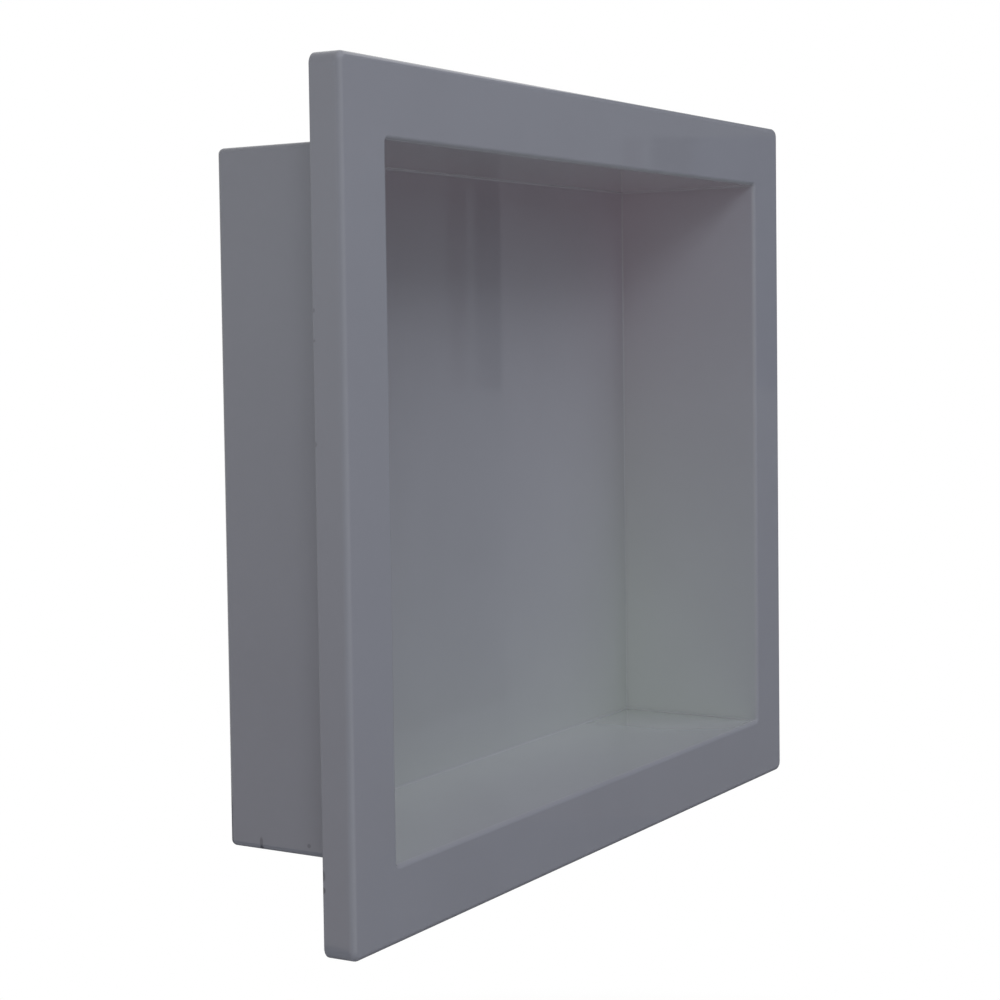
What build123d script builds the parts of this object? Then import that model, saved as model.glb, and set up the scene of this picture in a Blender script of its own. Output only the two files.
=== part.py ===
"""Shower niche insert: a shallow open box with a raised frame round its mouth, moulded in one piece.

The origin is the centre of the wall cut-out, in the plane of the finished wall.
+X runs to the right for someone facing the niche, +Y runs into the wall and +Z is up.
"""
import os

from build123d import *

# Driving sizes, in millimetres, with the draft in degrees
frame_width = 406.0
frame_height = 337.5
frame_standoff = 13.7  # face of the frame to the finished wall
frame_border = 30.8  # outer edge of the frame to the side of the recess, on the face
frame_corner = 4.5  # corners of the frame, seen from the front
frame_edge = 2.5  # soft front edge round the outside of the frame
recess_depth = 75.5  # face of the frame to the back of the recess
recess_edge = 1.0  # inside corners of the recess
mouth_edge = 2.0  # soft edge where the face turns into the recess
wall = 1.5  # thickness of the frame and the sides
back_wall = 4.0  # thickness of the back
box_edge = 2.5  # outside corners of the box behind the wall
draft_angle = 0.5  # taper of the box and the recess towards the back
root_fillet = 1.0  # hidden corners in the hollow back of the frame

# Sizes that follow
recess_width = frame_width - 2 * frame_border
recess_height = frame_height - 2 * frame_border
skirt_corner = max(frame_corner - wall, root_fillet)

# Work planes: the finished wall, facing the room, and the face of the frame, facing into the wall
finished_wall = Plane.XZ
face = Plane(origin=(0, -frame_standoff, 0), x_dir=(1, 0, 0), z_dir=(0, 1, 0))

# Outside of the box: a tapered block with soft edges all round, apart from its front
with BuildPart() as box:
    with BuildSketch(face):
        Rectangle(recess_width + 2 * wall, recess_height + 2 * wall)
    extrude(amount=recess_depth + back_wall)
    draft(box.faces().filter_by(Axis.Y, reverse=True), neutral_plane=face, angle=draft_angle)
    front_edges = box.edges().group_by(Axis.Y)[0]
    fillet(box.edges() - front_edges, box_edge)

# Inside of the box: the space that bottles stand in, which leaves the walls round it
with BuildPart() as recess:
    with BuildSketch(face):
        Rectangle(recess_width, recess_height)
    extrude(amount=recess_depth)
    draft(recess.faces().filter_by(Axis.Y, reverse=True), neutral_plane=face, angle=draft_angle)
    front_edges = recess.edges().group_by(Axis.Y)[0]
    fillet(recess.edges() - front_edges, recess_edge)

with BuildPart() as niche_insert:
    # Frame: a slab that stands proud of the finished wall, with a soft front edge
    with BuildSketch(finished_wall):
        RectangleRounded(frame_width, frame_height, frame_corner)
    extrude(amount=frame_standoff)
    fillet(niche_insert.faces().sort_by(Axis.Y)[0].edges(), frame_edge)

    # Its back is hollow, which leaves a plate and a skirt whose rim meets the wall
    with BuildSketch(finished_wall):
        RectangleRounded(frame_width - 2 * wall, frame_height - 2 * wall, skirt_corner)
    extrude(amount=frame_standoff - wall, mode=Mode.SUBTRACT)
    plate_back = niche_insert.faces().filter_by(Axis.Y).sort_by(Axis.Y)[1]
    fillet(plate_back.edges(), root_fillet)

    # The box grows out of the back of the plate
    add(box.part)
    plate_back = niche_insert.faces().filter_by(Axis.Y).sort_by(Axis.Y)[1]
    fillet(plate_back.inner_wires()[0].edges(), root_fillet)

    # The recess opens it from the front, and its mouth is rounded over
    add(recess.part, mode=Mode.SUBTRACT)
    mouth = niche_insert.faces().sort_by(Axis.Y)[0].inner_wires()[0]
    fillet(mouth.edges(), mouth_edge)

niche_insert.part.label = "niche_insert"

os.makedirs("parts", exist_ok=True)
export_step(niche_insert.part, "parts/niche_insert.step")
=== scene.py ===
# %% [markdown]
# # Shower niche insert
#
# The object is one plastic moulding: a shallow open box that goes into a cut-out in a bathroom wall, with
# a raised frame round its mouth that covers the edge of the cut-out. This lesson dresses the CAD part for
# a studio picture, in four steps: the camera, the finish, the shape and the light. All lengths are in
# metres. +X runs to the right of the niche, +Y into the wall and +Z up, and the origin is the centre of
# the cut-out in the plane of the wall.

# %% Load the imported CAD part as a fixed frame
from math import cos, pi, radians, sin, tan

import bpy
from mathutils import Matrix, Vector


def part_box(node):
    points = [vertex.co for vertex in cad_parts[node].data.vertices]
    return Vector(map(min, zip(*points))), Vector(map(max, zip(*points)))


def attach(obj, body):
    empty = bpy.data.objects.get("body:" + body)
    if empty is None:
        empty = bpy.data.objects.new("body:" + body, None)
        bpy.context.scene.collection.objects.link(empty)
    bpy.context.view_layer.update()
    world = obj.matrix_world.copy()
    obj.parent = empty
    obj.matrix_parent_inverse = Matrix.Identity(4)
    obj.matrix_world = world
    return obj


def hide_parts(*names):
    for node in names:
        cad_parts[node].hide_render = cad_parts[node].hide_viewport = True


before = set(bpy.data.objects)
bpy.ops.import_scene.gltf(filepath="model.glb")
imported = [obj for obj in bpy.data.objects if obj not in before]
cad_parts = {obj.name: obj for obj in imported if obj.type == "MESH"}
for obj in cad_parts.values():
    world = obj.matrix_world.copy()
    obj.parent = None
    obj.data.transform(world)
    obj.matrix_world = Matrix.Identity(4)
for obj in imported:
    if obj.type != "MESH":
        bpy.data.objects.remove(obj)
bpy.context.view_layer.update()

# %% [markdown]
# ## Camera
#
# The picture was taken from the left of the niche, a little above its middle, about a metre away. A
# camera can be aimed by eye, or solved from straight edges whose real lengths are known. It was solved
# here, so that the edges of the model fall on the edges of the picture to within a pixel or two. The lens
# axis meets the picture a little above its centre, and that is what the small lens shift is for.

# %% Place the camera
CAMERA_PLACE = Vector((-0.8677, -0.4646, 0.0660))
CAMERA_YAW = radians(59.885)     # turned to the right from looking straight into the wall
CAMERA_PITCH = radians(-3.142)   # looking slightly down
CAMERA_ROLL = radians(-0.752)
PICTURE_SIZE = 1000              # pixels along each side of the square picture
FOCAL_PIXELS = 2190.4
LENS_AXIS_ROW = 450.0            # row of the picture that the lens axis meets


def camera_axes(yaw, pitch, roll):
    """Right, up and forward of a camera, as unit vectors."""
    forward = Vector((sin(yaw) * cos(pitch), cos(yaw) * cos(pitch), sin(pitch)))
    level_right = Vector((cos(yaw), -sin(yaw), 0.0))
    level_up = level_right.cross(forward)
    right = cos(roll) * level_right + sin(roll) * level_up
    up = cos(roll) * level_up - sin(roll) * level_right
    return right, up, forward


camera_data = bpy.data.cameras.new("camera")
camera_data.sensor_width = 36.0
camera_data.lens = FOCAL_PIXELS / PICTURE_SIZE * camera_data.sensor_width
camera_data.shift_y = (LENS_AXIS_ROW - PICTURE_SIZE / 2) / PICTURE_SIZE
camera_data.clip_start = 0.05
camera = bpy.data.objects.new("camera", camera_data)
right, up, forward = camera_axes(CAMERA_YAW, CAMERA_PITCH, CAMERA_ROLL)
turned = Matrix((right, up, -forward)).transposed().to_4x4()
camera.matrix_world = Matrix.Translation(CAMERA_PLACE) @ turned
bpy.context.scene.collection.objects.link(camera)
bpy.context.scene.camera = camera
print(f"camera lens {camera_data.lens:.1f} mm, shift {camera_data.shift_y:.3f}")

# %% [markdown]
# ## Building node trees in a script
#
# Finishes, the shape and the studio are all made of nodes. Three small helpers keep the scripts for them
# readable: one feeds a socket, one adds a node and feeds its sockets, and one adds a step of arithmetic.

# %% Helpers for node trees


def feed(tree, socket, value):
    """Link a socket to another node's output, or write a plain value on it."""
    if isinstance(value, bpy.types.NodeSocket):
        tree.links.new(value, socket)
    else:
        socket.default_value = value


def add_node(tree, kind, inputs=None, **options):
    """Add a node, set its options, and feed its inputs by name or by number."""
    node = tree.nodes.new(kind)
    for name, option in options.items():
        setattr(node, name, option)
    for key, value in (inputs or {}).items():
        feed(tree, node.inputs[key], value)
    return node


def calculate(tree, operation, *values):
    """Add one step of arithmetic and give back its result."""
    node = add_node(tree, "ShaderNodeMath", dict(enumerate(values)), operation=operation)
    return node.outputs[0]


# %% [markdown]
# ## Finish of the moulding
#
# The real piece is a mid-grey plastic with a slight blue cast and a gloss in which the back of the recess
# mirrors the side wall and the floor. Such a skin comes out of a polished mould, so it has no grain, only
# a faint unevenness that breaks up long reflections, and a colour that is almost the same everywhere. One
# flat colour with one roughness would look like a drawing. So the colour drifts by a hundredth or two,
# the roughness by a little more, and a very shallow ripple stands in for the unevenness. The textures use
# Object coordinates, which stay on the moulding wherever it goes.

# %% Make the colour and the gloss
MOULDING_COLOUR = (0.181, 0.188, 0.220, 1.0)
SHADE_LOW, SHADE_HIGH = 0.985, 1.015     # drift of the colour
GLOSS_LOW, GLOSS_HIGH = 0.035, 0.045     # drift of the roughness
MID_LOW, MID_HIGH = 0.3, 0.7             # where most of a noise texture's values lie
RIPPLE_HEIGHT = 2e-6

moulding_finish = bpy.data.materials.new("satin_grey_moulding")
moulding_finish.use_nodes = True
tree = moulding_finish.node_tree
skin = tree.nodes["Principled BSDF"]
skin.inputs["IOR"].default_value = 1.5
place = add_node(tree, "ShaderNodeTexCoord").outputs["Object"]

clouds = add_node(tree, "ShaderNodeTexNoise", {"Vector": place, "Scale": 18.0, "Detail": 3.0})
shade = add_node(tree, "ShaderNodeMapRange", {
    "Value": clouds.outputs["Fac"], "From Min": MID_LOW, "From Max": MID_HIGH,
    "To Min": SHADE_LOW, "To Max": SHADE_HIGH})
rubbing = add_node(tree, "ShaderNodeTexNoise", {"Vector": place, "Scale": 40.0, "Detail": 4.0})
gloss = add_node(tree, "ShaderNodeMapRange", {
    "Value": rubbing.outputs["Fac"], "From Min": MID_LOW, "From Max": MID_HIGH,
    "To Min": GLOSS_LOW, "To Max": GLOSS_HIGH})
ripple = add_node(tree, "ShaderNodeTexNoise", {"Vector": place, "Scale": 300.0, "Detail": 1.0})
bump = add_node(tree, "ShaderNodeBump", {
    "Strength": 0.2, "Distance": RIPPLE_HEIGHT, "Height": ripple.outputs["Fac"]})
feed(tree, skin.inputs["Roughness"], gloss.outputs["Result"])
feed(tree, skin.inputs["Normal"], bump.outputs["Normal"])
print("roughness from", GLOSS_LOW, "to", GLOSS_HIGH)

# %% [markdown]
# ## Marks of use
#
# A few small dark marks sit on the piece: a short one at the lower edge of the box, a spot near it, and
# some specks along the rear edge of the frame. They could be drawn on a picture and laid over the shape.
# A handful
# of soft spots is easier to place exactly: each is a stretched ball, and where the surface passes through
# the ball its colour goes darker.

# %% Add the marks
MARKS = (
    # centre, half sizes, how much darker
    ((-0.17315, 0.0500, -0.1356), (0.0040, 0.0010, 0.0024), 0.35),
    ((-0.17310, 0.0500, -0.1380), (0.0040, 0.0012, 0.0013), 0.60),
    ((-0.17335, 0.02685, -0.1347), (0.0040, 0.0011, 0.0011), 0.30),
    ((-0.20300, 0.0000, 0.0740), (0.0030, 0.0014, 0.0012), 0.25),
    ((-0.20300, 0.0000, 0.0628), (0.0030, 0.0014, 0.0008), 0.25),
    ((-0.20300, 0.0000, 0.0246), (0.0030, 0.0014, 0.0014), 0.20),
    ((-0.20300, 0.0000, -0.1368), (0.0030, 0.0016, 0.0028), 0.45),
    ((-0.20300, 0.0000, -0.1423), (0.0030, 0.0016, 0.0017), 0.55),
)
brightness = shade.outputs["Result"]
for centre, half_sizes, darker in MARKS:
    offset = add_node(tree, "ShaderNodeVectorMath", {0: place, 1: centre}, operation="SUBTRACT")
    scaled = add_node(tree, "ShaderNodeVectorMath", {
        0: offset.outputs["Vector"], 1: half_sizes}, operation="DIVIDE")
    distance = add_node(tree, "ShaderNodeVectorMath", {0: scaled.outputs["Vector"]}, operation="LENGTH")
    left_over = add_node(tree, "ShaderNodeMapRange", {
        "Value": distance.outputs["Value"], "From Min": 0.5, "From Max": 1.0,
        "To Min": 1.0 - darker, "To Max": 1.0}, interpolation_type="SMOOTHSTEP")
    brightness = calculate(tree, "MULTIPLY", brightness, left_over.outputs["Result"])
colour = add_node(tree, "ShaderNodeVectorMath", {
    0: MOULDING_COLOUR[:3], "Scale": brightness}, operation="SCALE")
feed(tree, skin.inputs["Base Color"], colour.outputs["Vector"])
print("finish", moulding_finish.name, "with", len(MARKS), "marks and", len(tree.nodes), "nodes")

# %% [markdown]
# ## Section of the moulding
#
# Every edge of the moulding has the same section, as in a picture frame: cut it anywhere and the same
# line shows. The line starts in the middle of the recess, runs out along the back, forward along the side
# of the recess, over the face of the frame and back to the wall, and then follows the hidden side to the
# middle of the back again. It could be drawn by hand with a curve. Points worked out from the sizes are
# exact, and they follow a changed size. Each point holds three lengths: how far it lies inside the outer
# edge, how deep it lies, and how round the four corners are at that place.

# %% Work out the section
BORDER = 0.0308        # outer edge of the frame to the side of the recess
WALL = 0.0015          # thickness of the frame and the sides
BACK_WALL = 0.0040     # thickness of the back
DRAFT = radians(0.5)   # taper that lets the moulding leave its mould
FRAME_CORNER = 0.0045
FRAME_EDGE = 0.0025
MOUTH_EDGE = 0.0020
RECESS_EDGE = 0.0010
BOX_EDGE = 0.0025
ROOT_FILLET = 0.0010
RIM_EDGE = 0.0004
ARC_STEPS = 8

node_low, node_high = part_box("niche_insert")
width = node_high.x - node_low.x
height = node_high.z - node_low.z
face_depth = node_low.y
rear_depth = node_high.y
plate_depth = face_depth + WALL
back_depth = rear_depth - BACK_WALL


def recess_side(depth):
    """Inset of the recess wall at a depth."""
    return BORDER + (depth - face_depth) * tan(DRAFT)


def box_side(depth):
    """Inset of the outside of the box at a depth."""
    return recess_side(depth) - WALL


def turn(centre_inset, centre_depth, radius, start, end, corner_reach):
    """Points along a round of the section, where inset and corner radius add up to the corner reach."""
    points = []
    for step in range(ARC_STEPS + 1):
        angle = start + (end - start) * step / ARC_STEPS
        inset = centre_inset + radius * cos(angle)
        depth = centre_depth + radius * sin(angle)
        points.append((inset, depth, corner_reach - inset))
    return points


def section_points():
    """The whole line of the section, from the middle of the recess to the middle of the rear."""
    lean = 1 / cos(DRAFT)
    points = [(height / 2, back_depth, 0.0)]
    depth = back_depth - RECESS_EDGE
    inset = recess_side(depth) + RECESS_EDGE * lean
    reach = inset - RECESS_EDGE * cos(DRAFT) + RECESS_EDGE
    points += turn(inset, depth, RECESS_EDGE, pi / 2, pi - DRAFT, reach)
    depth = face_depth + MOUTH_EDGE
    inset = recess_side(depth) - MOUTH_EDGE * lean
    reach = inset + MOUTH_EDGE * cos(DRAFT) + RECESS_EDGE
    points += turn(inset, depth, MOUTH_EDGE, -DRAFT, -pi / 2, reach)
    points += turn(FRAME_EDGE, face_depth + FRAME_EDGE, FRAME_EDGE, -pi / 2, -pi, FRAME_CORNER)
    points += turn(RIM_EDGE, -RIM_EDGE, RIM_EDGE, pi, pi / 2, FRAME_CORNER)
    points += turn(WALL - RIM_EDGE, -RIM_EDGE, RIM_EDGE, pi / 2, 0.0, FRAME_CORNER)
    depth = plate_depth + ROOT_FILLET
    points += turn(WALL + ROOT_FILLET, depth, ROOT_FILLET, pi, 1.5 * pi, FRAME_CORNER)
    inset = box_side(depth) - ROOT_FILLET * lean
    reach = inset + ROOT_FILLET * cos(DRAFT) + BOX_EDGE
    points += turn(inset, depth, ROOT_FILLET, 1.5 * pi, 2 * pi - DRAFT, reach)
    depth = rear_depth - BOX_EDGE
    inset = box_side(depth) + BOX_EDGE * lean
    reach = inset - BOX_EDGE * cos(DRAFT) + BOX_EDGE
    points += turn(inset, depth, BOX_EDGE, pi - DRAFT, pi / 2, reach)
    points.append((height / 2, rear_depth, 0.0))
    return points


section = section_points()
section_wire = bpy.data.meshes.new("section_wire")
section_wire.from_pydata(section, [(k, k + 1) for k in range(len(section) - 1)], [])
moulding = bpy.data.objects.new("moulding", section_wire)
bpy.context.scene.collection.objects.link(moulding)
print("section of", len(section), "points")

# %% [markdown]
# ## Carrying the section round the frame
#
# The section has to go round four sides with rounded corners. It could be swept along a rectangle, but a
# plain sweep can't give the frame, the recess and the box corners of their own. So Geometry Nodes only
# take the connections of a sweep, round a circle, and then put each point in its place: a corner of the
# rectangle, brought in by the inset and rounded by the corner radius that the point carries.

# %% Build the tree that carries the section round


def carry_round_tree():
    """Geometry nodes that carry a section wire round a rectangle with rounded corners."""
    tree = bpy.data.node_groups.new("carry_section_round_frame", "GeometryNodeTree")
    tree.is_modifier = True
    sockets = tree.interface
    sockets.new_socket("Section", in_out="INPUT", socket_type="NodeSocketGeometry")
    sockets.new_socket("Width", in_out="INPUT", socket_type="NodeSocketFloat")
    sockets.new_socket("Height", in_out="INPUT", socket_type="NodeSocketFloat")
    sockets.new_socket("Corner Steps", in_out="INPUT", socket_type="NodeSocketInt")
    sockets.new_socket("Finish", in_out="INPUT", socket_type="NodeSocketMaterial")
    sockets.new_socket("Moulding", in_out="OUTPUT", socket_type="NodeSocketGeometry")
    given = tree.nodes.new("NodeGroupInput").outputs

    # The section keeps its three lengths while it is swept
    wire = add_node(tree, "GeometryNodeMeshToCurve", {"Mesh": given["Section"]})
    position = add_node(tree, "GeometryNodeInputPosition")
    profile = tree.nodes.new("GeometryNodeCaptureAttribute")
    profile.capture_items.new("VECTOR", "Lengths")
    feed(tree, profile.inputs["Geometry"], wire.outputs["Curve"])
    feed(tree, profile.inputs["Lengths"], position.outputs["Position"])

    # The path has a few points for each corner: which corner, and how far round it
    corner_points = calculate(tree, "ADD", given["Corner Steps"], 1)
    path = add_node(tree, "GeometryNodeCurvePrimitiveCircle", {
        "Resolution": calculate(tree, "MULTIPLY", corner_points, 4)})
    index = add_node(tree, "GeometryNodeInputIndex").outputs["Index"]
    corner = calculate(tree, "FLOOR", calculate(tree, "DIVIDE", index, corner_points))
    step = calculate(tree, "MODULO", index, corner_points)
    share = calculate(tree, "DIVIDE", step, given["Corner Steps"])
    angle = calculate(tree, "MULTIPLY", calculate(tree, "ADD", corner, share), pi / 2)
    middle = calculate(tree, "MULTIPLY", calculate(tree, "ADD", corner, 0.5), pi / 2)
    rail = tree.nodes.new("GeometryNodeCaptureAttribute")
    feed(tree, rail.inputs["Geometry"], path.outputs["Curve"])
    for name, value in (
        ("Side X", calculate(tree, "SIGN", calculate(tree, "COSINE", middle))),
        ("Side Z", calculate(tree, "SIGN", calculate(tree, "SINE", middle))),
        ("Round X", calculate(tree, "COSINE", angle)),
        ("Round Z", calculate(tree, "SINE", angle)),
    ):
        rail.capture_items.new("FLOAT", name)
        feed(tree, rail.inputs[name], value)

    sweep = add_node(tree, "GeometryNodeCurveToMesh", {
        "Curve": rail.outputs["Geometry"], "Profile Curve": profile.outputs["Geometry"]})
    lengths = add_node(tree, "ShaderNodeSeparateXYZ", {"Vector": profile.outputs["Lengths"]}).outputs
    inset, depth, radius = lengths["X"], lengths["Y"], lengths["Z"]

    def across(size, side, rounding):
        """Place along one axis: the corner's centre, plus the rounding about it."""
        reach = calculate(tree, "SUBTRACT", calculate(tree, "MULTIPLY", size, 0.5), inset)
        centre = calculate(tree, "MULTIPLY", calculate(tree, "SUBTRACT", reach, radius), side)
        return calculate(tree, "MULTIPLY_ADD", radius, rounding, centre)

    place = add_node(tree, "ShaderNodeCombineXYZ", {
        "X": across(given["Width"], rail.outputs["Side X"], rail.outputs["Round X"]),
        "Y": depth,
        "Z": across(given["Height"], rail.outputs["Side Z"], rail.outputs["Round Z"])})
    placed = add_node(tree, "GeometryNodeSetPosition", {
        "Geometry": sweep.outputs["Mesh"], "Position": place.outputs["Vector"]})

    # Points that fall together at sharp corners and in the middle of the flats become one
    merged = add_node(tree, "GeometryNodeMergeByDistance", {
        "Geometry": placed.outputs["Geometry"], "Distance": 1e-6})
    smooth = add_node(tree, "GeometryNodeSetShadeSmooth", {"Geometry": merged.outputs["Geometry"]})
    real = add_node(tree, "GeometryNodeRealizeInstances", {"Geometry": smooth.outputs["Geometry"]})
    finished = add_node(tree, "GeometryNodeSetMaterial", {
        "Geometry": real.outputs["Geometry"], "Material": given["Finish"]})
    add_node(tree, "NodeGroupOutput", {"Moulding": finished.outputs["Geometry"]})
    return tree


carry_round = carry_round_tree()
print("tree", carry_round.name, "with", len(carry_round.nodes), "nodes")

# %% Run the tree, and keep its result as a plain mesh


def set_inputs(modifier, values):
    """Set a modifier's inputs, which are stored under their identifiers."""
    for item in modifier.node_group.interface.items_tree:
        if item.in_out == "INPUT" and item.name in values:
            modifier[item.identifier] = values[item.name]


def apply_modifiers(piece):
    """Turn an object with live modifiers into one with a plain mesh."""
    evaluated = piece.evaluated_get(bpy.context.evaluated_depsgraph_get())
    mesh = bpy.data.meshes.new_from_object(evaluated)
    piece.modifiers.clear()
    piece.data = mesh
    mesh.name = piece.name


CORNER_STEPS = 8
carry = moulding.modifiers.new("carry_round", "NODES")
carry.node_group = carry_round
set_inputs(carry, {
    "Width": width, "Height": height, "Corner Steps": CORNER_STEPS, "Finish": moulding_finish})
flats = moulding.modifiers.new("keep_flats_flat", "WEIGHTED_NORMAL")
flats.weight = 100
apply_modifiers(moulding)
print("moulding has", len(moulding.data.vertices), "vertices and", len(moulding.data.polygons), "faces")

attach(moulding, "root")
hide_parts("niche_insert")

# %% [markdown]
# ## White room
#
# The picture has a plain white background. A white room would throw its own light on the object, so the
# white is kept for the rays that look at the background: from the camera, from a reflection or through
# glass. The world gives no light otherwise. The floor is pale paint that takes the shadow under the
# object, and it fades to the same white.

# %% Make the world and the floor
FLOOR_HEIGHT = -0.45
FLOOR_SIZE = 8.0
FLOOR_COLOUR = (0.7, 0.7, 0.7, 1.0)
FADE_START, FADE_END = 0.55, 0.85   # distance from the origin over which the floor goes white
WHITE = (1.0, 1.0, 1.0, 1.0)


def seen_by_eye(tree):
    """1 for the rays that show the background itself: to the camera, in a reflection or through glass."""
    path = tree.nodes.new("ShaderNodeLightPath").outputs
    seen = calculate(tree, "MAXIMUM", path["Is Camera Ray"], path["Is Glossy Ray"])
    return calculate(tree, "MAXIMUM", seen, path["Is Transmission Ray"])


def stage_piece(name, points, faces, material):
    """A piece of the studio, made of flat faces."""
    mesh = bpy.data.meshes.new(name)
    mesh.from_pydata(points, [], faces)
    mesh.materials.append(material)
    piece = bpy.data.objects.new(name, mesh)
    bpy.context.scene.collection.objects.link(piece)
    return piece


world = bpy.data.worlds.new("studio")
bpy.context.scene.world = world
world.use_nodes = True
world.cycles.sampling_method = "NONE"   # it lights nothing, so it isn't sampled as a lamp
tree = world.node_tree
tree.nodes.clear()
ambient = add_node(tree, "ShaderNodeBackground", {"Color": WHITE, "Strength": 0.0})
white = add_node(tree, "ShaderNodeBackground", {"Color": WHITE, "Strength": 1.0})
choice = add_node(tree, "ShaderNodeMixShader", {
    0: seen_by_eye(tree), 1: ambient.outputs["Background"], 2: white.outputs["Background"]})
add_node(tree, "ShaderNodeOutputWorld", {"Surface": choice.outputs["Shader"]})

floor_finish = bpy.data.materials.new("pale_floor")
floor_finish.use_nodes = True
floor_finish.cycles.emission_sampling = "NONE"
tree = floor_finish.node_tree
tree.nodes.clear()
paint = add_node(tree, "ShaderNodeBsdfDiffuse", {"Color": FLOOR_COLOUR})
glow = add_node(tree, "ShaderNodeEmission", {"Color": WHITE, "Strength": 1.0})
place = add_node(tree, "ShaderNodeTexCoord").outputs["Object"]
distance = add_node(tree, "ShaderNodeVectorMath", {0: place}, operation="LENGTH").outputs["Value"]
fade = add_node(tree, "ShaderNodeMapRange", {
    "Value": distance, "From Min": FADE_START, "From Max": FADE_END}, interpolation_type="SMOOTHSTEP")
share = calculate(tree, "MULTIPLY", seen_by_eye(tree), fade.outputs["Result"])
blend = add_node(tree, "ShaderNodeMixShader", {
    0: share, 1: paint.outputs["BSDF"], 2: glow.outputs["Emission"]})
add_node(tree, "ShaderNodeOutputMaterial", {"Surface": blend.outputs["Shader"]})
reach = FLOOR_SIZE / 2
stage_piece("floor", [
    (-reach, -reach, FLOOR_HEIGHT), (reach, -reach, FLOOR_HEIGHT),
    (reach, reach, FLOOR_HEIGHT), (-reach, reach, FLOOR_HEIGHT)], [(0, 1, 2, 3)], floor_finish)
print("floor", FLOOR_SIZE, "m wide at height", FLOOR_HEIGHT)

# %% [markdown]
# ## Cards for the reflections
#
# A glossy piece shows its surroundings. Seen from the left, the face and the back of the recess mirror
# what stands to the right of the camera, the outside of the box mirrors what stands to its left, and the
# soft edges sweep over everything between. An empty white room would lay a veil over them, and the
# picture has none. A photographer stands cards in those places, and so does this scene: a dark one to the
# right, a pale and a grey one in front, a white one to the left that goes warmer and darker towards its
# foot, and a black one that lies below the lower edge. Three strips in front of the dark card are the
# darker bars high up in the reflections. The cards only show in reflections. They throw no light or
# shadow, and the camera looks through them.

# %% Stand the cards up


def climbing_colour(tree, below, above):
    """A colour that changes with height, between two stops that each hold a height and a colour."""
    place = add_node(tree, "ShaderNodeTexCoord").outputs["Object"]
    level = add_node(tree, "ShaderNodeSeparateXYZ", {"Vector": place}).outputs["Z"]
    climb = add_node(tree, "ShaderNodeMapRange", {
        "Value": level, "From Min": below[0], "From Max": above[0]})
    ramp = add_node(tree, "ShaderNodeValToRGB", {"Fac": climb.outputs["Result"]})
    for element, stop in zip(ramp.color_ramp.elements, (below, above)):
        element.color = stop[1]
    return ramp.outputs["Color"]


def upright(azimuth, distance, across, up):
    """Corners of an upright card that faces the object. Across and up are its limits."""
    middle = Vector((sin(azimuth), -cos(azimuth), 0.0)) * distance
    along = Vector((cos(azimuth), sin(azimuth), 0.0))
    limits = ((across[0], up[0]), (across[1], up[0]), (across[1], up[1]), (across[0], up[1]))
    return [middle + along * side + Vector((0.0, 0.0, level)) for side, level in limits]


def reflection_card(name, corners, colour=WHITE, stops=()):
    """A card that only shows in reflections, in one colour or with two stops that it climbs between."""
    finish = bpy.data.materials.new(name)
    finish.use_nodes = True
    finish.cycles.emission_sampling = "NONE"
    tree = finish.node_tree
    tree.nodes.clear()
    shown = climbing_colour(tree, *stops) if stops else colour
    glow = add_node(tree, "ShaderNodeEmission", {"Color": shown})
    add_node(tree, "ShaderNodeOutputMaterial", {"Surface": glow.outputs["Emission"]})
    card = stage_piece(name, corners, [(0, 1, 2, 3)], finish)
    card.visible_camera = False
    card.visible_diffuse = False
    card.visible_shadow = False


CARD_DISTANCE = 0.65
STRIP_DISTANCE = 0.64                      # just in front of the dark card
DARK_SIDE = radians(60)                    # where the dark card stands, to the right of the front
STANDING = (FLOOR_HEIGHT + 0.001, 0.60)    # lower and upper edge of the cards
HIGH_UP = (0.02, 0.205)                    # and of the strips
LOW = -0.30                                # height of the card that lies down

reflection_card("dark_card", upright(DARK_SIDE, CARD_DISTANCE, (-0.55, 0.55), STANDING), stops=(
    (-0.30, (0.09, 0.08, 0.07, 1.0)), (-0.20, (0.13, 0.14, 0.15, 1.0))))
narrow = upright(DARK_SIDE, STRIP_DISTANCE, (0.034, 0.048), HIGH_UP)
reflection_card("narrow_strip", narrow, (0.05, 0.04, 0.04, 1.0))
wide = upright(DARK_SIDE, STRIP_DISTANCE, (0.055, 0.085), HIGH_UP)
reflection_card("wide_strip", wide, (0.0, 0.0, 0.0, 1.0))
side = upright(DARK_SIDE, STRIP_DISTANCE, (0.085, 0.160), HIGH_UP)
reflection_card("side_strip", side, (0.06, 0.07, 0.10, 1.0))
pale = upright(radians(-15), CARD_DISTANCE, (-0.455, 0.455), STANDING)
reflection_card("pale_card", pale, (0.51, 0.52, 0.46, 1.0))
grey = upright(radians(-70), CARD_DISTANCE, (-0.25, 0.25), STANDING)
reflection_card("grey_card", grey, (0.42, 0.43, 0.38, 1.0))
reflection_card("left_card", upright(radians(-126), CARD_DISTANCE, (-0.30, 0.45), STANDING), stops=(
    (-0.25, (0.63, 0.56, 0.53, 1.0)), (0.10, WHITE)))
lying = [(-0.6, -0.4, LOW), (0.9, -0.4, LOW), (0.9, 0.9, LOW), (-0.6, 0.9, LOW)]
reflection_card("low_card", lying, (0.05, 0.05, 0.05, 1.0))

# %% [markdown]
# ## Light
#
# Five soft white lamps light the niche: a large one above it on the right, weaker ones in front and on
# the left, and a smaller one between those two, which gives the slanting shadow on the right wall of the
# recess its edge. The fifth hangs behind it, and lights the sides that the picture doesn't show. One lamp
# would be simpler, but it would leave the floor of the recess or the side of the box too dark. None of
# them shows in a reflection, because the picture has no bright spots on its soft edges.

# %% Hang the lamps
LAMP_DISTANCE = 2.4
WIDE = 1.3     # sides of the lamps
SMALL = 0.6


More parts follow.
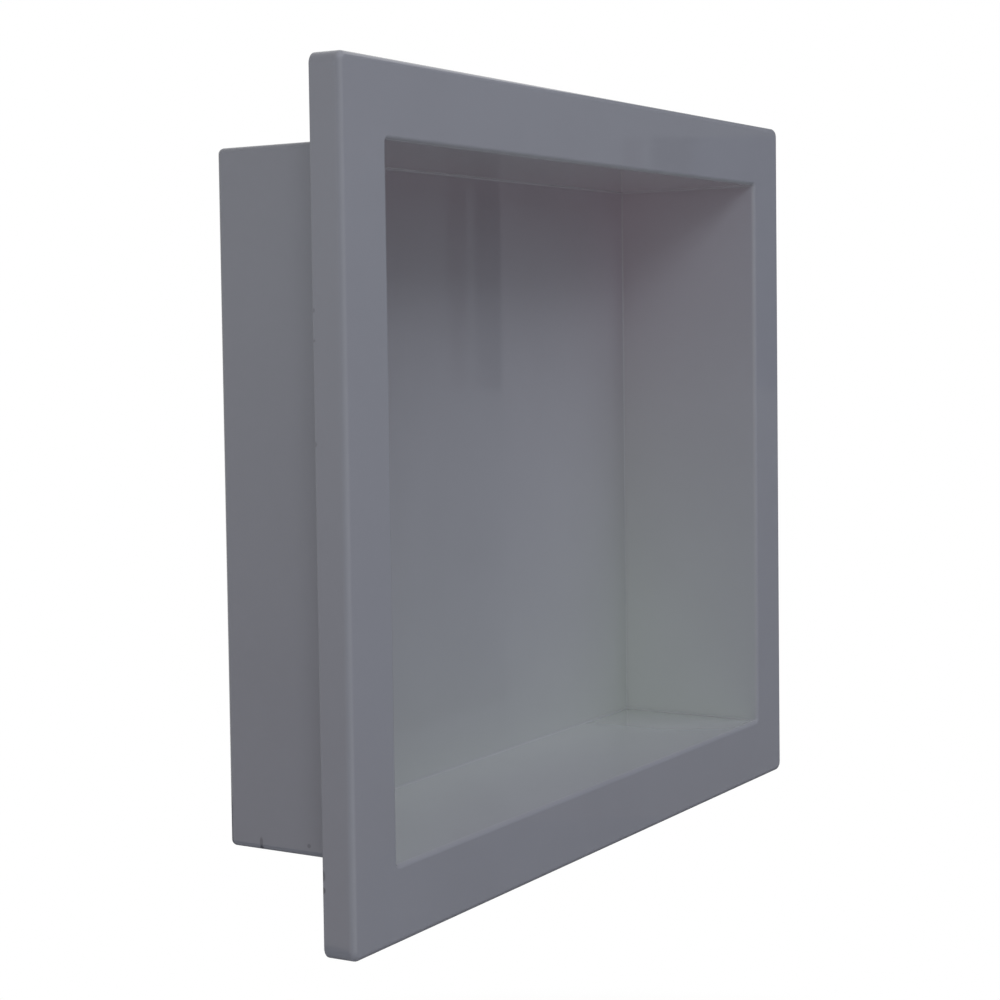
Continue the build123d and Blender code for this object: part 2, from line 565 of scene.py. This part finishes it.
def softbox(name, place, size, power):
    """A square white area light that shines from a place towards the origin, and isn't seen itself."""
    data = bpy.data.lights.new(name, "AREA")
    data.shape = "SQUARE"
    data.size = size
    data.energy = power
    light = bpy.data.objects.new(name, data)
    light.location = place
    light.rotation_euler = (-place).to_track_quat("-Z", "Y").to_euler()
    light.visible_camera = False
    light.visible_glossy = False
    bpy.context.scene.collection.objects.link(light)


def around(azimuth, elevation):
    """A place for a lamp round the niche: azimuth from its front, positive to the right."""
    flat = cos(elevation)
    return LAMP_DISTANCE * Vector((flat * sin(azimuth), -flat * cos(azimuth), sin(elevation)))


softbox("top_lamp", around(radians(30), radians(50)), WIDE, 41.0)
softbox("front_lamp", around(0.0, radians(25)), WIDE, 13.0)
softbox("left_lamp", around(radians(-75), radians(15)), WIDE, 20.0)
softbox("edge_lamp", around(radians(-55), radians(27)), SMALL, 13.0)
softbox("rear_lamp", around(radians(150), radians(12)), WIDE, 30.0)

# %% [markdown]
# ## Light between the walls
#
# In the picture the inside of the recess is as bright as the frame, because its walls throw light to and
# fro. The grey plastic throws back too little of it here. Lamps inside the recess could add it, but each
# of them would leave a pool. A softly glowing lining, a tenth of a millimetre off the walls, does it
# evenly: dim near the top and brighter near the floor. It throws no shadow, and no camera or reflection
# shows it.

# %% Line the recess
GAP = 0.0001
GLOW_BELOW = (-0.09, (0.87, 0.95, 0.72, 1.0))   # height and colour
GLOW_ABOVE = (0.09, (0.44, 0.31, 0.32, 1.0))

lining_finish = bpy.data.materials.new("glowing_lining")
lining_finish.use_nodes = True
tree = lining_finish.node_tree
tree.nodes.clear()
tint = climbing_colour(tree, GLOW_BELOW, GLOW_ABOVE)
back_side = add_node(tree, "ShaderNodeNewGeometry").outputs["Backfacing"]
front_side = calculate(tree, "SUBTRACT", 1.0, back_side)
shine = add_node(tree, "ShaderNodeEmission", {"Color": tint, "Strength": front_side})
clear = add_node(tree, "ShaderNodeBsdfTransparent")
both = add_node(tree, "ShaderNodeAddShader", {0: shine.outputs["Emission"], 1: clear.outputs["BSDF"]})
add_node(tree, "ShaderNodeOutputMaterial", {"Surface": both.outputs["Shader"]})

lining_points = []
for depth in (face_depth + MOUTH_EDGE, back_depth - GAP):
    across = width / 2 - recess_side(depth) - GAP
    upward = height / 2 - recess_side(depth) - GAP
    lining_points += [(-across, depth, -upward), (across, depth, -upward),
                      (across, depth, upward), (-across, depth, upward)]
lining = stage_piece("lining", lining_points, [
    (4, 5, 6, 7), (0, 1, 5, 4), (3, 7, 6, 2), (0, 4, 7, 3), (1, 2, 6, 5)], lining_finish)
lining.visible_camera = False
lining.visible_glossy = False
lining.visible_transmission = False
lining.visible_shadow = False
print("lining of", len(lining.data.polygons), "faces")

# %% Set the view transform
bpy.context.scene.view_settings.view_transform = "Standard"
